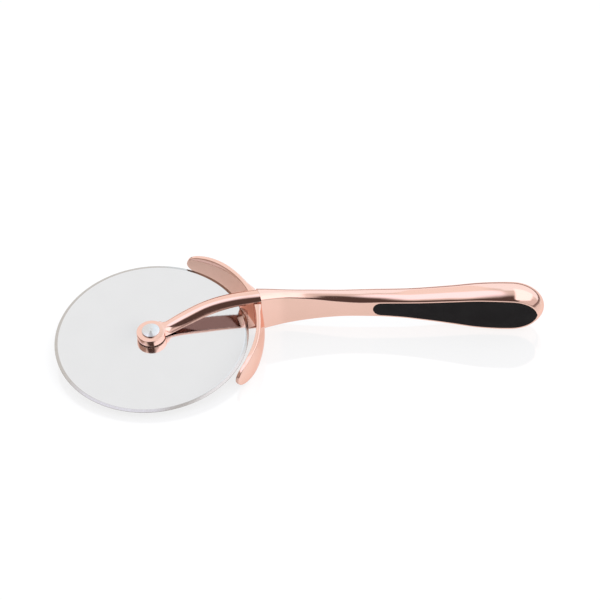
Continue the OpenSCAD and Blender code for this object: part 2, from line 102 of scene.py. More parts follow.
# Rows of [share of the reach, share of a size]
ARCH_ROWS = [[0, 0], [0.085, 0.52], [0.175, 0.86], [0.285, 0.985], [0.36, 1], [0.45, 0.965],
             [0.575, 0.805], [0.7, 0.535], [0.825, 0.26], [0.91, 0.095], [1, -0.05]]
NECK_ROWS = [[0.27, 0.8], [0.31, 0.35], [0.35, 0], [0.4, 0.1], [0.475, 0.6], [0.54, 1], [0.6, 1], [1, 1]]
SWELL_T_ROWS = [[0.27, 0], [0.54, 0], [0.64, 0.05], [0.7, 0.22], [0.765, 0.42], [0.83, 0.7],
                [0.89, 0.92], [0.94, 1], [1, 1]]
TAPER_ROWS = [[0.27, 1], [0.31, 0.82], [0.35, 0.62], [0.4, 0.36], [0.475, 0.11], [0.54, 0], [0.6, 0],
              [1, 0]]
SWELL_H_ROWS = [[0.27, 0], [0.54, 0], [0.64, 0.03], [0.7, 0.25], [0.765, 0.56], [0.83, 0.86],
                [0.89, 0.99], [0.94, 1], [1, 1]]
FLAT_H_ROWS = [[0.27, 0.89], [0.31, 0.887], [0.35, 0.885], [0.4, 0.85], [0.44, 0.775], [0.475, 0.69],
               [0.51, 0.645], [0.54, 0.645], [0.59, 0.7], [0.64, 0.755], [0.7, 0.772], [0.765, 0.792],
               [0.83, 0.82], [0.89, 0.806], [0.94, 0.776], [1, 0.776]]
# How far the rounded crease between crown and flat side reaches over the crown and down the side
CREASE_IN_ROWS = [[0.27, 0.5], [0.35, 0.5], [0.4, 0.7], [0.44, 1], [0.5, 1.2], [0.56, 1.2], [0.6, 1.4],
                  [0.7, 1.6], [0.83, 1.8], [1, 1.8]]
CREASE_DOWN_ROWS = [[0.27, 0.35], [0.35, 0.35], [0.44, 0.5], [0.5, 0.6], [0.56, 0.6], [1, 0.6]]
# Along an arm, from the axle (0) to the grip (1), and along the guard, from the fork (0) to a tip (1)
ARM_RISE_ROWS = [[0, 0], [0.14, 0], [0.3, 0.24], [0.5, 0.585], [0.75, 0.86], [1, 1]]
ARM_W_ROWS = [[0, 0], [0.16, 0], [0.32, 0.75], [0.5, 1], [1, 1]]
ARM_MID_ROWS = [[0, 0], [0.16, 0], [0.5, 1], [1, 1]]
ARM_END_ROWS = [[0, 0], [0.5, 0], [1, 1]]
ARM_CROWN_ROWS = [[0, 0], [0.115, 0], [0.13, 0.5], [0.15, 0.9], [0.17, 1], [1, 1]]
GUARD_W_ROWS = [[0, 1], [0.2, 0.98], [0.4, 0.92], [0.6, 0.78], [0.75, 0.52], [0.86, 0.14], [0.92, 0],
                [1, 0]]
GUARD_T_ROWS = [[0, 1], [0.2, 0.98], [0.4, 0.92], [0.6, 0.8], [0.8, 0.5], [0.9, 0.26], [1, 0]]
GUARD_CROWN_ROWS = [[0, 0], [0.1, 0], [0.22, 1], [0.6, 0.9], [1, 0.6]]


# How the tool lies
hinge = frame["joints"][0]
AXLE = Vector(hinge["axis"]).normalized()
WHEEL_AT = Vector(hinge["pos_m"])
LAID = Vector((0, 0, 1)).rotation_difference(AXLE).to_matrix()


def laid(points):
    """Tool frame in millimetres to the row frame in metres: turn by LAID, then move to WHEEL_AT."""
    return np.asarray(points, float) @ np.array(LAID).T * MM + np.array(WHEEL_AT)


def smooth(rows, x):
    """Cubic through [place, value] rows: at an inner row its slope is that of the line between the
    rows before and after it, and at an end row that of the line to its neighbour."""
    p, v = np.array(rows, float).T
    slope = np.empty_like(v)
    slope[1:-1] = (v[2:] - v[:-2]) / (p[2:] - p[:-2])
    slope[0] = (v[1] - v[0]) / (p[1] - p[0])
    slope[-1] = (v[-1] - v[-2]) / (p[-1] - p[-2])
    i = np.clip(np.searchsorted(p, x, side="right") - 1, 0, len(p) - 2)
    w = p[i + 1] - p[i]
    s = (x - p[i]) / w
    return ((2 * s**3 - 3 * s**2 + 1) * v[i] + (s**3 - 2 * s**2 + s) * w * slope[i]
            + (3 * s**2 - 2 * s**3) * v[i + 1] + (s**3 - s**2) * w * slope[i + 1])


def side_at(x):
    """Sideways arch of the middle line at place x."""
    return ARCH * smooth(ARCH_ROWS, x / REACH)


def heading(x):
    """Direction of the middle line at place x, from the slope between two near places."""
    step = 0.001 * REACH
    return np.arctan2(side_at(x + step) - side_at(x - step), 2 * step)


def placed(x, d, z):
    """Point at place x along the middle line, d square to it and z up the axle."""
    x, d, z = np.broadcast_arrays(np.asarray(x, float), d, z)
    h = heading(x)
    return np.stack([x - d * np.sin(h), side_at(x) + d * np.cos(h), z], -1)


def at_radius(x, d, r, tries=4):
    """Place near x where the point at distance d beside the middle line lies r from the axle,
    found by stepping along by the miss."""
    for _ in range(tries):
        x = x + r - np.hypot(*np.moveaxis(placed(x, d, 0 * d)[..., :2], -1, 0))
    return x


# Fork's heading, from the wheel's centre to the place where the guard's inner face crosses the tool
fork_at = GUARD_R * math.cos(math.atan2(side_at(GUARD_R), GUARD_R))
FORK_HEADING = math.atan2(side_at(fork_at), fork_at)
GUARD_OUT = GUARD_R + GUARD_THICK
ROOT_X = GUARD_OUT * math.cos(FORK_HEADING)
DOME_X = DOME_SHARE * REACH
INLAY_X = INLAY_SHARE * REACH


def dome_scale(x):
    """1 as far as DOME_X, then a quarter circle down to 0 at the grip's end."""
    q = np.clip((x - DOME_X) / (REACH - DOME_X), 0, 1)
    return np.sqrt(1 - q**2)


def flat_t(x):
    """Half thickness between the flat sides."""
    s = x / REACH
    return (NECK_T + (WAIST_T - NECK_T) * smooth(NECK_ROWS, s)
            + (BULB_T - WAIST_T) * smooth(SWELL_T_ROWS, s))


def crown_h(x):
    """Half height of the grip's rounded section."""
    s = np.minimum(x, DOME_X) / REACH
    full = (WAIST_H + (ROOT_H - WAIST_H) * smooth(TAPER_ROWS, s)
            + (BULB_H - WAIST_H) * smooth(SWELL_H_ROWS, s))
    return full * dome_scale(x)


def round_t(x):
    """Half thickness that the rounded section would have without its flat sides."""
    b = np.minimum(x, DOME_X)
    return flat_t(b) / np.sqrt(1 - smooth(FLAT_H_ROWS, b / REACH) ** 2) * dome_scale(x)


def flat_share(x):
    """Part of the rounded half thickness that the flat sides leave."""
    return np.minimum(MOST_FLAT, flat_t(x) / np.maximum(round_t(x), TINY))


def side_t(x):
    """Half thickness of the grip, between the flat sides and then in the dome."""
    return round_t(x) * flat_share(x)


def flat_h(x):
    """Half height of the flat side."""
    return crown_h(x) * np.sqrt(1 - flat_share(x) ** 2)


def eased(points, cuts, steps=5):
    """Rounds the corners of outlines: each corner p becomes the curve (1-s)^2 a + 2s(1-s) p + s^2 b
    between the points a and b that lie its cut before and after it. points is (..., corners, 2)."""
    points = np.asarray(points, float)
    s = np.linspace(0, 1, steps + 1)[:, None]
    out = []
    for i, cut in enumerate(cuts):
        p, before, after = points[..., i, :], points[..., i - 1, :], points[..., (i + 1) % len(cuts), :]
        if cut == 0:
            out.append(p[..., None, :])
            continue
        a, b = (p + (q - p) * np.minimum(MOST_CUT, cut / np.linalg.norm(q - p, axis=-1, keepdims=True))
                for q in (before, after))
        a, b, p = a[..., None, :], b[..., None, :], p[..., None, :]
        out.append((1 - s) ** 2 * a + 2 * s * (1 - s) * p + s**2 * b)
    return np.concatenate(out, -2)


def closed(grid, axis=1):
    """Grid with its first row or column repeated at the end."""
    return np.concatenate([grid, np.take(grid, [0], axis)], axis)


def revolved(profile, steps=360):
    """Profile of [radius, height] carried round the axle: x = r cos a, y = r sin a, z = height."""
    a = np.linspace(0, 2 * np.pi, steps + 1)[:, None]
    r, z = np.asarray(profile, float).T
    return np.stack([r * np.cos(a), r * np.sin(a), z + 0 * a], -1)


def capped(rings):
    """Rings of points closed at both ends by a ring that has shrunk to the end ring's middle."""
    first, last = (np.broadcast_to(ring[:-1].mean(0), ring.shape)[None] for ring in (rings[0], rings[-1]))
    return np.concatenate([first, rings, last])


def piece(name, patches, material, body, replaced=(), sharp=32):
    """Joins grids of tool points into one skin and puts it in the scene. A patch is a grid, or a grid
    and a mask of its cells to keep. Points that meet within a tenth of a micrometre become one,
    and a quad that collapses there becomes a triangle or goes."""
    points, quads, start = [], [], 0
    for patch in patches:
        grid, keep = patch if isinstance(patch, tuple) else (patch, None)
        rows, columns = grid.shape[:2]
        index = start + np.arange(rows * columns).reshape(rows, columns)
        cells = np.stack([index[:-1, :-1], index[1:, :-1], index[1:, 1:], index[:-1, 1:]], -1)
        quads.append(cells.reshape(-1, 4) if keep is None else cells[keep])
        points.append(grid.reshape(-1, 3))
        start += rows * columns
    points, quads = np.concatenate(points), np.concatenate(quads)
    _, first, where = np.unique(np.round(points * WELDS_PER_MM), axis=0, return_index=True,
                                return_inverse=True)
    quads = where.reshape(-1)[quads]
    same = quads == np.roll(quads, -1, 1)
    faces = quads[same.sum(1) == 0].tolist()
    thin = same.sum(1) == 1
    faces += quads[thin][~same[thin]].reshape(-1, 3).tolist()
    mesh = bpy.data.meshes.new(name)
    mesh.from_pydata(laid(points[first]).tolist(), [], faces)
    skin = bmesh.new()
    skin.from_mesh(mesh)
    bmesh.ops.delete(skin, geom=[v for v in skin.verts if not v.link_faces], context="VERTS")
    bmesh.ops.recalc_face_normals(skin, faces=skin.faces)
    skin.to_mesh(mesh)
    skin.free()
    mesh.shade_smooth()
    mesh.set_sharp_from_angle(angle=math.radians(sharp))
    obj = bpy.data.objects.new(name, mesh)
    bpy.context.scene.collection.objects.link(obj)
    mesh.materials.append(material)
    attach(obj, body)
    if replaced:
        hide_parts(*replaced)
    return obj


# Materials

class Nodes:
    """Short hand for building one node tree. Values are numbers, tuples or other nodes' sockets."""

    def __init__(self, tree):
        self.tree = tree

    def link(self, value, socket):
        self.tree.links.new(value, socket)

    def add(self, kind, ins=(), **settings):
        """A node with its settings, and its inputs set or linked."""
        node = self.tree.nodes.new(kind)
        for key, value in settings.items():
            setattr(node, key, value)
        for key, value in dict(ins).items():
            if isinstance(value, bpy.types.NodeSocket):
                self.link(value, node.inputs[key])
            else:
                node.inputs[key].default_value = value
        return node

    def math(self, operation, a, b=0.0):
        return self.add("ShaderNodeMath", {0: a, 1: b}, operation=operation).outputs[0]

    def plus(self, a, b):
        return self.math("ADD", a, b)

    def times(self, product, *factors):
        for factor in factors:
            product = self.math("MULTIPLY", product, factor)
        return product

    def ramp(self, value, low, high, to_low=0.0, to_high=1.0):
        """value carried from low..high to to_low..to_high with soft ends, and held beyond them."""
        return self.add("ShaderNodeMapRange", {"Value": value, "From Min": low, "From Max": high,
                                               "To Min": to_low, "To Max": to_high},
                        interpolation_type="SMOOTHSTEP").outputs["Result"]

    def mix(self, factor, a, b):
        """Colour between a and b, which are (red, green, blue) or sockets."""
        a, b = (v if isinstance(v, bpy.types.NodeSocket) else (*v, 1.0) for v in (a, b))
        return self.add("ShaderNodeMix", {0: factor, 6: a, 7: b}, data_type="RGBA").outputs[2]

    def noise(self, vector, scale, detail=3.0, rough=0.5):
        return self.add("ShaderNodeTexNoise", {"Vector": vector, "Scale": scale, "Detail": detail,
                                               "Roughness": rough}).outputs["Fac"]

    def turned(self, radius, angle, detail, rough=0.5, height=0.0):
        """Noise over values that grow with the radius, the angle round the axle and the height."""
        place = self.add("ShaderNodeCombineXYZ", {0: radius, 1: angle, 2: height})
        return self.noise(place.outputs[0], 1.0, detail, rough)

    def stretched(self, vector, scale, turn=0.0):
        """The vector turned about z and scaled axis by axis, so that noise over it is drawn out."""
        return self.add("ShaderNodeMapping", {"Vector": vector, "Rotation": (0, 0, turn),
                                              "Scale": scale}).outputs[0]


def tool_place(n):
    """The shaded point in the tool's frame, in millimetres: Object coordinates, moved and turned
    back from how the tool lies. After it come its distance from the axle, its angle and its height."""
    back = LAID.transposed()
    shift = -(back @ WHEEL_AT) / MM
    coords = n.add("ShaderNodeTexCoord").outputs["Object"]
    at = n.add("ShaderNodeMapping", {"Vector": coords, "Location": shift, "Rotation": back.to_euler(),
                                     "Scale": (1 / MM,) * 3}).outputs[0]
    x, y, z = n.add("ShaderNodeSeparateXYZ", {0: at}).outputs
    radius = n.math("SQRT", n.plus(n.times(x, x), n.times(y, y)))
    return at, radius, n.math("ARCTAN2", y, x), z


def finish_of(name, color, metallic, **constants):
    """A new Principled material and its node helper. Constants go straight on the shader's sockets."""
    material = bpy.data.materials.new(name)
    material.use_nodes = True
    n = Nodes(material.node_tree)
    shader = material.node_tree.nodes["Principled BSDF"]
    shader.inputs["Metallic"].default_value = metallic
    shader.inputs["Base Color"].default_value = (*color, 1)
    for key, value in constants.items():
        shader.inputs[key.replace("_", " ")].default_value = value
    return material, n, shader


def surface(n, shader, tint, rough, height):
    """Links a colour, a roughness and a bump whose height is in millimetres."""
    bump = n.add("ShaderNodeBump", {"Height": height, "Distance": MM, "Strength": 1.0})
    n.link(tint, shader.inputs["Base Color"])
    n.link(rough, shader.inputs["Roughness"])
    n.link(bump.outputs[0], shader.inputs["Normal"])


# Radius at which the painted shade on the fork's inner faces that look at the wheel ends, at the web
INNER_SHADE_END = 53


def rose_plate():
    """Polished copper-pink plating: the depth of colour drifts a little, the polish has broad faint
    waves and hairlines along the tool, and the plate is a touch duller in patches. The faces of the
    fork that look at the wheel are painted darker, as painted shade between the fork and the wheel."""
    material, n, shader = finish_of("rose_plate", (0.91, 0.6, 0.5), 1.0, Specular_Tint=(1, 0.78, 0.71, 1))
    at, radius, _, z = tool_place(n)
    drift = n.ramp(n.noise(at, 0.045, 2.0), 0.3, 0.7)
    plated = n.mix(drift, (0.92, 0.605, 0.505), (0.90, 0.595, 0.49))
    normal = n.add("ShaderNodeNewGeometry").outputs["Normal"]
    upright = n.add("ShaderNodeVectorMath", {0: normal, 1: tuple(AXLE)},
                    operation="DOT_PRODUCT").outputs["Value"]
    inward = n.ramp(n.times(upright, n.math("SIGN", z)), -0.8, -0.95)
    # Painted shade: the fork's faces that look at the wheel, from the hub ring to the web, are painted dark
    # brown
    painted_inner_shade = n.times(inward, n.ramp(radius, HUB_R, HUB_R + 2), n.ramp(radius, INNER_SHADE_END + 1, INNER_SHADE_END))
    tint = n.mix(painted_inner_shade, plated, (0.34, 0.17, 0.14))
    hair = n.noise(n.stretched(at, (0.05, 1.0, 1.0)), 5.0, 2.0, 0.7)
    patch = n.ramp(n.noise(at, 0.3), 0.35, 0.7, 0.07, 0.1)
    wave = n.noise(at, 0.16, 1.0)
    surface(n, shader, tint, n.plus(patch, n.ramp(hair, 0.5, 0.8, 0.0, 0.04)),
            n.plus(n.times(wave, 0.006), n.times(hair, 0.0003)))
    return material


def wheel_steel():
    """Rolled and fine ground stainless steel: faint turned rings and cloudy patches on the flats, short
    grinding marks across the bevel, and a few hair scratches from use. The bevel is painted darker
    than the flats as painted shade, with the grinding marks' own tone in it."""
    material, n, shader = finish_of("wheel_steel", (0.87, 0.87, 0.88), 1.0)
    at, radius, angle, _ = tool_place(n)
    rings = n.turned(n.times(radius, 9.0), n.times(angle, 0.6), 4.0, 0.6)
    marks = n.turned(n.times(radius, 0.3), n.times(angle, 260.0), 2.0)
    cloud = n.noise(at, 0.07)
    scratch = n.ramp(n.noise(n.stretched(at, (0.035, 1.6, 1.0), 0.7), 1.0, 1.0), 0.72, 0.76)
    edge = BLADE_R - EDGE_W
    bevel = n.ramp(radius, edge - 0.1, edge + 0.05)
    flat = n.mix(n.ramp(cloud, 0.35, 0.65), (0.785, 0.785, 0.782), (0.793, 0.793, 0.79))
    # Painted shade: the bevel is painted darker and warmer than the flats, varied by the grinding marks
    tint = n.mix(n.times(bevel, n.ramp(marks, 0.3, 0.7, 0.75, 1.0)), flat, (0.52, 0.485, 0.445))
    satin = n.plus(n.ramp(cloud, 0.3, 0.7, 0.07, 0.1), n.ramp(rings, 0.4, 0.7, 0.0, 0.02))
    rough = n.plus(n.plus(satin, n.times(scratch, 0.06)), n.times(bevel, 0.1))
    relief = n.plus(n.times(rings, 0.0002), n.times(bevel, marks, 0.004))
    surface(n, shader, tint, rough, n.math("SUBTRACT", relief, n.times(scratch, 0.0003)))
    return material


def spun_steel():
    """Steel turned on a lathe: fine rings about the axle, which stretch the light across them, and
    a painted reflection: a darker wedge on the side towards the viewer."""
    material, n, shader = finish_of("spun_steel", (0.66, 0.65, 0.63), 1.0, Anisotropic=0.75)
    _, radius, angle, _ = tool_place(n)
    rings = n.turned(n.times(radius, 14.0), angle, 3.0, 0.6)
    bright = n.mix(n.ramp(rings, 0.35, 0.65), (0.66, 0.65, 0.63), (0.74, 0.73, 0.71))
    narrow = n.ramp(n.math("ABSOLUTE", n.math("COSINE", angle)), 0.42, 0.12)
    # Painted reflection: a dark wedge on the head's side towards the viewer
    painted_reflection_wedge = n.times(narrow, n.ramp(radius, 0.4, 1.2), n.ramp(n.math("SINE", angle), 0.2, -0.4))
    tint = n.mix(n.times(painted_reflection_wedge, 0.65), bright, (0.30, 0.28, 0.27))
    coords = n.add("ShaderNodeTexCoord").outputs["Object"]
    out = n.add("ShaderNodeVectorMath", {0: coords, 1: tuple(WHEEL_AT)}, operation="SUBTRACT").outputs[0]
    around = n.add("ShaderNodeVectorMath", {0: tuple(AXLE), 1: out}, operation="CROSS_PRODUCT").outputs[0]
    n.link(around, shader.inputs["Tangent"])
    surface(n, shader, tint, n.ramp(rings, 0.3, 0.7, 0.2, 0.32), n.times(rings, 0.003))
    return material


def soft_rubber():
    """Moulded soft-touch rubber: a fine leathery grain, with the grain's tops a little lighter."""
    material, n, shader = finish_of("soft_rubber", (0.0105, 0.005, 0.005), 0.0, Specular_IOR_Level=0.2)
    at, _, _, _ = tool_place(n)
    grain = n.add("ShaderNodeTexVoronoi", {"Vector": at, "Scale": 3.2, "Randomness": 1.0})
    tops = n.ramp(grain.outputs["Distance"], 0.5, 0.1)
    fine = n.noise(at, 9.0, 2.0)
    cloud = n.noise(at, 0.12, 2.0)
    tint = n.mix(n.times(tops, 0.5), (0.007, 0.0055, 0.0055), (0.013, 0.0105, 0.0105))
    tint = n.mix(n.ramp(cloud, 0.35, 0.7, 0.0, 0.4), tint, (0.011, 0.009, 0.009))
    surface(n, shader, tint, n.ramp(cloud, 0.3, 0.7, 0.62, 0.72),
            n.plus(n.times(tops, 0.02), n.times(fine, 0.012)))
    return material


def plain_metal(name, dark, light, low, high):
    """Turned metal of a hidden part: rings about the axle in colour and roughness."""
    material, n, shader = finish_of(name, light, 1.0)
    _, radius, angle, z = tool_place(n)
    rings = n.turned(n.times(radius, 6.0), angle, 3.0, height=n.times(z, 6.0))
    shade = n.ramp(rings, 0.3, 0.7)
    surface(n, shader, n.mix(shade, dark, light), n.ramp(rings, 0.3, 0.7, low, high), n.times(rings, 0.003))
    return material


def washer_nylon():
    """Milky nylon sheet: soft mottling and a faint sawn grain."""
    material, n, shader = finish_of("washer_nylon_own", (0.75, 0.73, 0.68), 0.0, Subsurface_Weight=0.1)
    at, _, _, _ = tool_place(n)
    mottle = n.noise(at, 0.8)
    surface(n, shader, n.mix(mottle, (0.70, 0.68, 0.62), (0.80, 0.78, 0.73)),
            n.ramp(mottle, 0.3, 0.7, 0.4, 0.55), n.times(n.noise(at, 5.0), 0.006))
    return material


PLATE, STEEL, SPUN = rose_plate(), wheel_steel(), spun_steel()
RUBBER, NYLON = soft_rubber(), washer_nylon()
PIN_STEEL = plain_metal("pin_steel", (0.55, 0.55, 0.56), (0.7, 0.7, 0.7), 0.25, 0.4)
BRASS = plain_metal("bush_brass", (0.72, 0.5, 0.2), (0.85, 0.64, 0.3), 0.2, 0.35)


# Wheel: a flat disc with a bevel on both sides that leaves a narrow land at the rim

half = BLADE_THICK / 2
wheel_profile = eased([[BORE_R, -half], [BLADE_R - EDGE_W, -half], [BLADE_R, -EDGE_LAND / 2],
                       [BLADE_R, EDGE_LAND / 2], [BLADE_R - EDGE_W, half], [BORE_R, half]],
                      [BORE_EASE, BEVEL_EASE, EDGE_EASE, EDGE_EASE, BEVEL_EASE, BORE_EASE])
piece("cutting_wheel", [revolved(closed(wheel_profile, 0))], STEEL, "wheel", ["blade"],
      sharp=8)


# Axle rivet and its cap

def dome(z_from):
    """Head of a rivet: a straight wall, a crown whose height falls with the square of the distance
    from the dimple, and a small dished dimple."""
    q = np.linspace(1, 0, 13)
    r = DIMPLE_R + (HEAD_R - DIMPLE_R) * q
    crown = np.stack([r, z_from + HEAD_WALL + (HEAD_H - HEAD_WALL) * (1 - q**2)], -1)
    p = np.linspace(1, 0, 5)[1:]
    dish = np.stack([DIMPLE_R * p, z_from + HEAD_H - DIMPLE_DEPTH * (1 - p**2)], -1)
    foot = eased([[HEAD_R - FOOT_W, z_from], [HEAD_R, z_from], [HEAD_R, z_from + HEAD_WALL], crown[2]],
                 [0, FOOT_EASE, HEAD_EASE, 0])[1:]
    return np.concatenate([foot, crown[3:], dish])


head = dome(RING_OUT)
shank = [[0, -SHANK_END + SEAT_GAP], [SHANK_R - SHANK_TAPER_W, -SHANK_END + SEAT_GAP],
         [SHANK_R, -SHANK_END + SHANK_TAPER_H], [SHANK_R, RING_OUT]]
piece("rivet", [revolved(np.concatenate([shank, head]), 180)], SPUN, "holder", ["axle_rivet"])
collar = [[0, SHANK_END], [SHANK_R + FIT_GAP, SHANK_END], [SHANK_R + FIT_GAP, COLLAR_END],
          [COLLAR_R, COLLAR_END], [COLLAR_R, RING_OUT]]
piece("rivet_end", [revolved(np.concatenate([collar, head]), 180) * (1, 1, -1)], SPUN, "holder",
      ["rivet_cap"])


# Fork: two arms, their hub rings, the web and the tang

ROOT_TOP = float(crown_h(ROOT_X))


def arm_under(s):
    """Height of an arm's inner face at share s of its length."""
    return RING_IN + (ARM_RISE - RING_IN) * smooth(ARM_RISE_ROWS, s)


def arm_depth(s):
    """Depth of an arm: the ring's, then the arm's own, then what reaches the grip's top."""
    return ((RING_OUT - RING_IN) + (ARM_THICK - RING_OUT + RING_IN) * smooth(ARM_MID_ROWS, s)
            + (ROOT_TOP - ARM_RISE - ARM_THICK) * smooth(ARM_END_ROWS, s))


def arm_half(s):
    """Half width of an arm: the neck's, then the arm's own, then the grip's."""
    return ((NECK_W + (ARM_W - NECK_W) * smooth(ARM_W_ROWS, s)) / 2
            + (float(side_t(ROOT_X)) - ARM_W / 2) * smooth(ARM_END_ROWS, s))


def crown_arc(half, top, drop, angle, reach_in, reach_down, steps=32):
    """Half a section, as [d, z] points from one side wall over the crown to the other: the crown is
    d = half sin a / sin A, z = top - drop (1 - cos a) / (1 - cos A) for a from A to -A, and at each
    end a curve that starts reach_in from the wall eases it into the wall, reach_down below the corner."""
    half, top, drop, angle, reach_in, reach_down = (
        np.asarray(v, float)[..., None] for v in (half, top, drop, angle, reach_in, reach_down))
    near = np.arcsin(np.sin(angle) * (1 - np.minimum(MOST_CREASE, reach_in / half)))
    a = near * np.linspace(1, -1, steps + 1)
    d = half * np.sin(a) / np.sin(angle)
    z = top - drop * (1 - np.cos(a)) / (1 - np.cos(angle))
    fall = drop * np.tan(near) * np.sin(angle) / (half * (1 - np.cos(angle)))
    corner = z[..., :1] - fall * (half - d[..., :1])
    s = np.linspace(0, 1, 11)[:-1]
    turn_z = (1 - s) ** 2 * (corner - reach_down) + 2 * s * (1 - s) * corner + s**2 * z[..., :1]
    turn_d = half - (half - d[..., :1]) * s**2
    return np.stack([np.concatenate([turn_d, d, -turn_d[..., ::-1]], -1),
                     np.concatenate([turn_z, z, turn_z[..., ::-1]], -1)], -1)


def arm(side):
    """An arm from inside its hub ring to the grip: at each place a crowned top over low straight walls
    and a flat inner face with rounded corners. At the ring the top is flat, then it breaks to the crown.
    It is sunk a little inside the ring, and its end follows the guard's outer circle."""
    s = np.concatenate([np.linspace(ARM_START, ARM_FREE, 5)[:-1],
                        np.linspace(ARM_FREE, ARM_CROWNED, 16)[:-1], np.linspace(ARM_CROWNED, 1, 150)])
    sunk = ARM_SINK * (s < SUNK_END)
    half, low = arm_half(s), arm_under(s) + sunk
    depth = arm_depth(s) - 2 * sunk
    crowned = smooth(ARM_CROWN_ROWS, s)
    drop = np.maximum(LEAST_DROP, (depth - ARM_WALL) * crowned)
    corner = FLAT_CORNER + CROWN_CORNER * crowned
    over = crown_arc(half, low + depth, drop, np.full_like(s, ARM_CROWN), corner, corner)
    u = np.linspace(0, 1, 7)
    curve = np.stack([ARM_EASE * u**2, ARM_EASE * (1 - u) ** 2], -1)
    left = np.stack([-half[:, None] + curve[:, 0], low[:, None] + curve[:, 1]], -1)
    right = np.stack([half[:, None] - curve[::-1, 0], low[:, None] + curve[::-1, 1]], -1)
    section = closed(np.concatenate([over, left, right], 1))
    d, x = section[..., 0], (s * ROOT_X)[:, None]
    end = at_radius(ROOT_X + 0 * d, d, GUARD_OUT)
    x = x + (end - ROOT_X) * np.clip((s[:, None] - FIT_START) / FIT_LONG, 0, 1)
    return capped(placed(x, d, side * section[..., 1]))


def web():
    """Wall across the crotch: a closed profile of radius and height, with a concave gusset under each arm,
    carried across the fork's width: x = sqrt(r^2 - y^2). The gusset is part arc and part straight."""
    low_r = WEB_R - GUSSET_R
    top = float(arm_under(low_r / GUARD_OUT))
    a = np.linspace(np.pi / 2, 0, 15)
    straight = np.linspace(0, 1, len(a))
    gusset = np.stack([
        low_r + GUSSET_R * (GUSSET_ROUND * np.cos(a) + GUSSET_STRAIGHT * straight),
        top - GUSSET_R + GUSSET_R * (GUSSET_ROUND * np.sin(a) + GUSSET_STRAIGHT * (1 - straight))], -1)
    seat = GUARD_R - SEAT_GAP
    seat_z = float(arm_under(seat / GUARD_OUT))
    upper = np.concatenate([[[seat, 0], [seat, seat_z + ARM_WALL / 2], [low_r, top + ARM_WALL / 2]], gusset])
    profile = closed(np.concatenate([upper, (upper * (1, -1))[::-1][:-1]]), 0)
    u = np.linspace(-1, 1, 17)
    y = (WEB_W / 2 * np.sign(u) * (1 - (1 - abs(u)) ** WEB_CROWDING))[:, None]
    x = np.sqrt(profile[:, 0] ** 2 - y**2)
    c, s = math.cos(FORK_HEADING), math.sin(FORK_HEADING)
    return capped(np.stack([x * c - y * s, x * s + y * c, profile[:, 1] + 0 * y], -1))


def hub_ring(side):
    """Ring about the axle at an arm's end, bored for the shank above and for the cap's collar below."""
    bore = (SHANK_R if side > 0 else COLLAR_R) + FIT_GAP
    profile = eased([[bore, RING_IN], [HUB_R, RING_IN], [HUB_R, RING_OUT], [bore, RING_OUT]],
                    [0, RING_EASE_IN, RING_EASE_OUT, 0])
    return revolved(closed(profile, 0), 200) * (1, 1, side)


def tang():
    """Flat bar inside the grip's neck, on the straight line between its two ends."""
    x0 = GUARD_R * math.cos(FORK_HEADING)
    start, end = placed(x0, TANG_SHIFT * WAIST_T, 0.0), placed(TANG_SHARE * REACH, 0.0, 0.0)
    along = (end - start) / np.linalg.norm(end - start)
    across = np.array([-along[1], along[0], 0])
    square = eased([[-1, -1], [1, -1], [1, 1], [-1, 1]], [TANG_CUT] * 4, 3)
    section = closed(square * (TANG_THICK / 2, TANG_HALF_H), 0)
    ring = section[:, :1] * across + section[:, 1:] * np.array([0, 0, 1.0])
    return capped(np.stack([start + ring, end + ring]))


piece("fork", [arm(1), arm(-1), web(), hub_ring(1), hub_ring(-1), tang()], PLATE, "holder",
      ["fork_head"])


# Guard

def guard_rings():
    """Crescent swept about the axle: at share s of the way from the fork to a tip, a box of radial
    thickness t(s) and half height h(s) with quarter-round corners; h closes like an ellipse at the tip.
    Its outer face is crowned, r = r_in + t - c(s) (z / half width)^2, and the tips bend in as s^4."""
    u = np.linspace(-1, 1, 241)
    angle = GUARD_ANGLE * np.sin(np.pi / 2 * u)
    s = abs(angle) / GUARD_ANGLE
    tip = np.sqrt(np.clip(1 - (np.clip(s - TIP_START, 0, 1) / TIP_LONG) ** 2, 0, 1))
    h = ((TIP_HALF_W + (GUARD_HALF_W - TIP_HALF_W) * smooth(GUARD_W_ROWS, s)) * tip)[:, None]
    t = (TIP_THICK + (GUARD_THICK - TIP_THICK) * smooth(GUARD_T_ROWS, s))[:, None]
    crown = (GUARD_CROWN * smooth(GUARD_CROWN_ROWS, s))[:, None] / GUARD_HALF_W**2
    r_in = (GUARD_R - TIP_BEND * s**4)[:, None]
    edge_t = t - crown * h**2
    e = np.minimum(GUARD_EASE, MOST_CORNER * np.minimum(h, edge_t / 2))
    q = np.linspace(0, np.pi / 2, 9)
    r, z = [], []
    for k, (sr, sz) in enumerate([(1, 1), (-1, 1), (-1, -1), (1, -1)]):
        turn = q + k * np.pi / 2
        r.append(r_in + (edge_t if sr > 0 else 0) - sr * e + e * np.cos(turn))
        z.append(sz * (h - e) + e * np.sin(turn))
    face = np.linspace(-1, 1, 25)[1:-1]
    r.append(r_in + t - crown * (h * face) ** 2)
    z.append((h - e) * face)
    r, z = closed(np.concatenate(r, 1)), closed(np.concatenate(z, 1))
    a = (angle + FORK_HEADING)[:, None]
    return np.stack([r * np.cos(a), r * np.sin(a), z], -1)


piece("finger_guard", [guard_rings()], PLATE, "holder", ["guard"])


# Grip, its pockets and its inlays

def inlay_half(x, margin):
    """Half height of an inlay, or of a pocket, whose edge keeps the margin from the flat side's edge:
    a round front end, then the flat side's own half height less the margin."""
    radius = float(flat_h(INLAY_X + WAIST_T)) - margin
    x0 = INLAY_X - INLAY_MARGIN + margin
    front = np.sqrt(np.clip(radius**2 - np.clip(x0 + radius - x, 0, radius) ** 2, 0, None))
    return np.where(x < x0 + radius, front, np.maximum(0, flat_h(x) - margin))


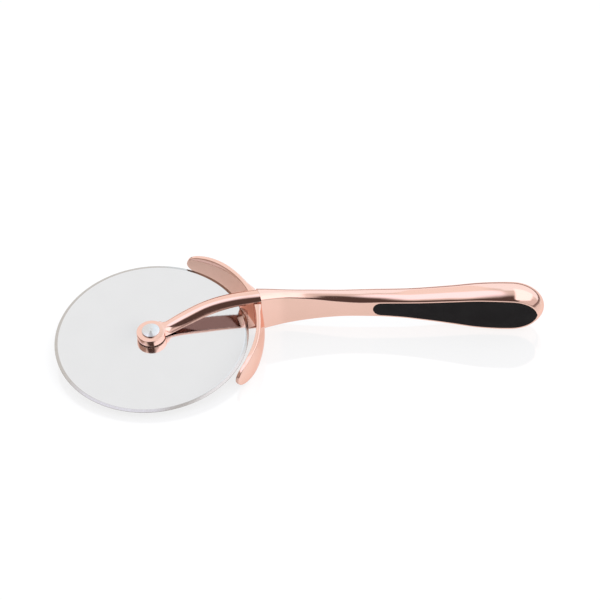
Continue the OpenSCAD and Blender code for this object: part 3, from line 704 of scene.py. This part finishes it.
def inlay_places(margin):
    """Places along an inlay, from its front tip to where the flat side has closed on its margin,
    crowded at both ends."""
    radius = float(flat_h(INLAY_X + WAIST_T)) - margin
    x0 = INLAY_X - INLAY_MARGIN + margin
    share = (flat_t(DOME_X) / round_t(DOME_X)) ** 2 + (margin / crown_h(DOME_X)) ** 2
    x1 = DOME_X + (REACH - DOME_X) * math.sqrt(1 - share)
    front = x0 + radius * (1 - np.cos(np.linspace(0, np.pi / 2, 19)))
    rest = x0 + radius + (x1 - x0 - radius) * np.sin(np.linspace(0, np.pi / 2, 90))[1:]
    return np.concatenate([front, rest])


POCKET_MARGIN, POCKET_DEPTH = INLAY_MARGIN - SEAT_GAP, INLAY_THICK + SEAT_GAP
# Cells of the grip: along its neck, from the flat side's edge to the pocket's rim, and across the pocket
NECK_STEPS, EDGE_ROWS, POCKET_ROWS = 120, 4, 14


def grip():
    """The grip: crown arcs above and below, flat sides between them with a pocket in each. Its places
    are the pocket's own where there is a pocket, so that the pocket's rim follows the cells."""
    pocket_x = inlay_places(POCKET_MARGIN)
    x = np.concatenate([ROOT_X + (pocket_x[0] - ROOT_X) * np.linspace(0, 1, NECK_STEPS + 1)[:-1], pocket_x,
                        pocket_x[-1] + (REACH - pocket_x[-1]) * np.sin(np.linspace(0, np.pi / 2, 16))[1:]])
    first, last = NECK_STEPS, NECK_STEPS + len(pocket_x) - 1
    thick, tall, angle = side_t(x), crown_h(x), np.arcsin(flat_share(x))
    scale = dome_scale(x)
    over = crown_arc(np.maximum(thick, THIN), tall, tall * (1 - np.cos(angle)), angle,
                     smooth(CREASE_IN_ROWS, x / REACH) * scale,
                     np.minimum(smooth(CREASE_DOWN_ROWS, x / REACH) * scale, 0.5 * flat_h(x)))
    over_d, over_z = over[..., 0], over[..., 1]
    # The flat side, from the upper crown's end down to the lower one's, with the pocket's rim in it
    rim = over_z[:, :1]
    e = np.minimum(np.maximum(inlay_half(x, POCKET_MARGIN), LEAST_RIM), MOST_POCKET * rim[:, 0])[:, None]
    share = np.linspace(0, 1, EDGE_ROWS + 1)
    strip = np.concatenate([rim + (e - rim) * share[:-1], e * np.linspace(1, -1, POCKET_ROWS + 1),
                            (-rim + (rim - e) * share[:-1])[:, ::-1]], 1)
    wall = thick[:, None] + 0 * strip[:, 1:-1]
    # Round the section: crown from +d to -d, flat side down at -d, lower crown back, flat side up at +d
    d = closed(np.concatenate([over_d, -wall, over_d[:, ::-1], wall], 1))
    z = closed(np.concatenate([over_z, strip[:, 1:-1], -over_z[:, ::-1], strip[:, ::-1][:, 1:-1]], 1))
    root = at_radius(ROOT_X + 0 * d[:1], d[:1], GUARD_OUT + SEAT_GAP)
    places = x[:, None] + (root - ROOT_X) * np.clip(1 - (x - ROOT_X) / ROOT_FIT, 0, 1)[:, None]
    skin = placed(places, d, z)
    keep = np.ones((skin.shape[0] - 1, skin.shape[1] - 1), bool)
    near_side = over.shape[1] + EDGE_ROWS - 1
    far_side = near_side + over.shape[1] + strip.shape[1] - 2
    patches = []
    rows = slice(first, last + 1)
    for start, sign in ((near_side, -1), (far_side, 1)):
        keep[first:last, start:start + POCKET_ROWS] = False
        cells = (rows, slice(start, start + POCKET_ROWS + 1))
        top = skin[cells]
        deep = placed(places[cells], sign * (thick[rows, None] - POCKET_DEPTH) + 0 * z[cells], z[cells])
        patches.append(deep)
        for edge in (np.s_[:, 0], np.s_[:, -1], np.s_[0, :], np.s_[-1, :]):
            patches.append(np.stack([top[edge], deep[edge]]))
    mouth = skin[:1]
    middle = np.broadcast_to(mouth[:, :-1].mean(1, keepdims=True), mouth.shape)
    return patches + [(skin, keep), np.concatenate([middle, mouth])]


piece("grip", grip(), PLATE, "holder", ["handle"])


FACE_ROWS, EASE_STEPS, BACK_ROWS = 11, 6, 8


def inlay(side):
    """Soft pad in its pocket: outline curves of the pocket's form stacked from the back face up the wall
    and over a rounded edge, then the face itself as rows across, and the same back to the back face."""
    quarter = np.linspace(0, np.pi / 2, EASE_STEPS)
    levels = [(INLAY_MARGIN, -INLAY_THICK)]
    levels += [(INLAY_MARGIN + INLAY_EASE * (1 - math.cos(a)),
                INLAY_PROUD - INLAY_EASE + INLAY_EASE * math.sin(a)) for a in quarter]
    wall = levels[::-1]
    shares = [1.0] * len(levels)
    levels += [(INLAY_MARGIN + INLAY_EASE, INLAY_PROUD)] * FACE_ROWS + wall
    shares += list(np.linspace(1, -1, FACE_ROWS + 2)[1:-1]) + [-1.0] * len(wall)
    levels += [(INLAY_MARGIN, -INLAY_THICK)] * BACK_ROWS
    shares += list(np.linspace(-1, 1, BACK_ROWS + 1)[1:])
    columns = []
    for (margin, height), share in zip(levels, shares):
        x = inlay_places(margin)
        z = share * inlay_half(x, margin)
        z[[0, -1]] = 0
        columns.append(placed(x, side * (flat_t(x) + height), z))
    return np.stack(columns, 1)


for name, side, node in (("inlay_front", -1, "front_inlay"), ("inlay_back", 1, "back_inlay")):
    piece(name, [inlay(side)], RUBBER, "holder", [node], sharp=50)


# Small parts inside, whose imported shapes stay

for node, finish in (("axle_bush", BRASS), ("tang_pin", PIN_STEEL), ("upper_washer", NYLON),
                     ("lower_washer", NYLON)):
    obj = frame["nodes"][node]
    obj.data.materials.clear()
    obj.data.materials.append(finish)


# Studio: table, room and lamps

TABLE_HALF, TABLE_DROP = 3.0, 0.00005


def table():
    """White acrylic table top. Mirrors and the camera see it mostly at its own white, so that shadows
    on it stay pale, and less so near the wheel, where showing less of its own white is painted shade.
    Its polish mirrors the tool faintly."""
    material = bpy.data.materials.new("table_white")
    material.use_nodes = True
    n = Nodes(material.node_tree)
    material.node_tree.nodes.clear()
    path = n.add("ShaderNodeLightPath").outputs
    camera_ray, glossy_ray = path["Is Camera Ray"], path["Is Glossy Ray"]
    coords = n.add("ShaderNodeTexCoord").outputs["Object"]
    x, y, _ = n.add("ShaderNodeSeparateXYZ", {0: coords}).outputs
    away = n.math("SQRT", n.plus(n.math("POWER", n.math("SUBTRACT", x, WHEEL_AT.x), 2.0),
                                 n.math("POWER", n.math("SUBTRACT", y, WHEEL_AT.y), 2.0)))
    # Painted shade: near the wheel less of the table's own white is shown, so the floor round the wheel reads
    # darker
    clear = n.ramp(away, (BLADE_R + 1) * MM, (BLADE_R + 9) * MM)
    own_white = n.plus(n.times(camera_ray, n.ramp(clear, 0, 1, 0.78, 0.86)),
                       n.times(glossy_ray, n.ramp(clear, 0, 1, 0.34, 0.7)))
    lit = n.add("ShaderNodeBsdfDiffuse", {"Color": (0.86, 0.86, 0.86, 1)}).outputs[0]
    white = n.add("ShaderNodeEmission", {"Color": (1, 1, 1, 1), "Strength": 1.08}).outputs[0]
    haze = n.ramp(n.noise(coords, 40.0, 2.0), 0.3, 0.7, 0.05, 0.08)
    polish = n.add("ShaderNodeBsdfGlossy", {"Roughness": haze}).outputs[0]
    mirrored = n.add("ShaderNodeFresnel", {"IOR": 1.8}).outputs[0]
    shown = n.add("ShaderNodeMixShader", {0: own_white, 1: lit, 2: white}).outputs[0]
    shown = n.add("ShaderNodeMixShader", {0: mirrored, 1: shown, 2: polish}).outputs[0]
    seen = n.math("MAXIMUM", camera_ray, glossy_ray)
    out = n.add("ShaderNodeMixShader", {0: seen, 1: lit, 2: shown}).outputs[0]
    n.link(out, n.add("ShaderNodeOutputMaterial").inputs[0])
    mesh = bpy.data.meshes.new("table")
    z = cad_box[0].z - TABLE_DROP
    corners = [(x * TABLE_HALF, y * TABLE_HALF, z) for x, y in ((-1, -1), (1, -1), (1, 1), (-1, 1))]
    mesh.from_pydata(corners, [], [(0, 1, 2, 3)])
    mesh.materials.append(material)
    obj = bpy.data.objects.new("table", mesh)
    bpy.context.scene.collection.objects.link(obj)


def room():
    """The room that the plating mirrors, as patches laid over each other by direction: x is right, y
    away and z up, and u and v are where a direction meets a ceiling at height 1, to the right and away.
    A dimmer strip hangs between the softboxes, and the side behind the camera is dark. The camera
    itself sees white."""
    world = bpy.data.worlds.new("room")
    bpy.context.scene.world = world
    world.use_nodes = True
    world.node_tree.nodes.clear()
    n = Nodes(world.node_tree)
    toward = n.add("ShaderNodeTexCoord").outputs["Generated"]
    x, y, z = n.add("ShaderNodeSeparateXYZ", {0: toward}).outputs
    high = n.math("MAXIMUM", z, 0.05)
    u, v = n.math("DIVIDE", x, high), n.math("DIVIDE", y, high)
    # The dark side's edges: its upper one draws nearer to the left, its right one shifts as it nears
    upper = n.plus(v, n.times(n.math("MAXIMUM", n.times(u, -1.0), 0.0), 0.95))
    right = n.plus(u, n.times(n.math("MINIMUM", n.plus(v, 0.7), 0.0), 0.2))
    grey = n.mix(n.ramp(u, 0.3, 0.7), (0.4, 0.36, 0.36), (0.78, 0.74, 0.76))
    color = n.mix(n.ramp(x, -0.4, 0.4), (0.42, 0.40, 0.39), (0.78, 0.78, 0.78))
    # Each patch: its name, its colour, and ramps from where it starts to where it is full
    for _, tint, *ramps in (
            ("back wall", (1.08, 1.08, 1.10), (y, -0.1, 0.6)),
            ("ceiling", (1.02, 1.02, 1.03), (z, 0.25, 0.5)),
            ("dim strip", (0.78, 0.77, 0.78), (u, -0.06, 0.02), (u, 0.24, 0.16), (v, -0.3, -0.1),
             (v, 0.8, 0.5)),
            ("low right", grey, (v, -0.3, -0.6), (u, 0.0, 0.1), (z, 0.76, 0.62)),
            ("front right box", (1.3, 1.34, 1.5), (v, -0.2, -0.5), (u, 0.42, 0.6), (z, 0.55, 0.68)),
            ("low left", (0.45, 0.37, 0.33), (x, -0.52, -0.64), (y, 0.45, 0.25)),
            ("left box", (1.3, 1.34, 1.56), (u, 0.03, -0.05), (x, -0.64, -0.52), (v, -0.5, -0.36),
             (v, 0.4, 0.2)),
            ("back box", (1.1, 1.22, 1.34), (u, 0.01, 0.04), (v, 0.15, 0.35)),
            ("right box", (1.5, 1.52, 1.65), (u, 0.15, 0.25), (u, 2.0, 1.5), (v, -1.1, -0.9), (v, 0.65, 0.4)),
            ("dark side", (0.09, 0.066, 0.062), (upper, 0.0, -0.55), (right, 0.22, 0.08), (z, 0.0, 0.04),
             (x, -0.94, -0.86)),
            ("skirting", (0.25, 0.2, 0.2), (z, 0.11, 0.09))):
        color = n.mix(n.times(*(n.ramp(*ends) for ends in ramps)), color, tint)
    color = n.mix(n.add("ShaderNodeLightPath").outputs["Is Camera Ray"], color, (1, 1, 1))
    light = n.add("ShaderNodeBackground", {"Color": color, "Strength": 1.0}).outputs[0]
    n.link(light, n.add("ShaderNodeOutputWorld").inputs[0])


def lamp(name, at, size, energy):
    """Rectangular lamp at a point in metres, aimed at the origin and not mirrored."""
    data = bpy.data.lights.new(name, "AREA")
    data.shape, data.size, data.size_y = "RECTANGLE", *size
    data.energy = energy
    obj = bpy.data.objects.new(name, data)
    obj.visible_glossy = False
    bpy.context.scene.collection.objects.link(obj)
    obj.location = at
    obj.rotation_euler = (-Vector(at)).to_track_quat("-Z", "Y").to_euler()


table()
room()
lamp("softbox_left", (-0.45, 0.1, 1.0), (0.8, 0.9), 0.3)
lamp("softbox_right", (0.4, -0.15, 1.0), (0.35, 1.1), 0.2)


# Camera in the tool's frame, in millimetres, from the wheel's outline in the photograph

CAMERA_AT, CAMERA_RIGHT = (52.6, -744.5, 838.1), (0.9963, -0.0762, -0.0401)
CAMERA_UP, CAMERA_AHEAD = (0.0833, 0.7363, 0.6715), (0.0216, 0.6723, -0.7399)
SENSOR_MM, LENS_MM, CLIP_START = 36, 132, 0.05

camera = bpy.data.cameras.new("camera")
camera.sensor_width, camera.lens, camera.clip_start = SENSOR_MM, LENS_MM, CLIP_START
seer = bpy.data.objects.new("camera", camera)
bpy.context.scene.collection.objects.link(seer)
turn = LAID @ Matrix([CAMERA_RIGHT, CAMERA_UP, [-v for v in CAMERA_AHEAD]]).transposed()
seer.matrix_world = Matrix.Translation(laid(CAMERA_AT)) @ turn.normalized().to_4x4()
bpy.context.scene.camera = seer
bpy.context.scene.view_settings.view_transform = "Standard"
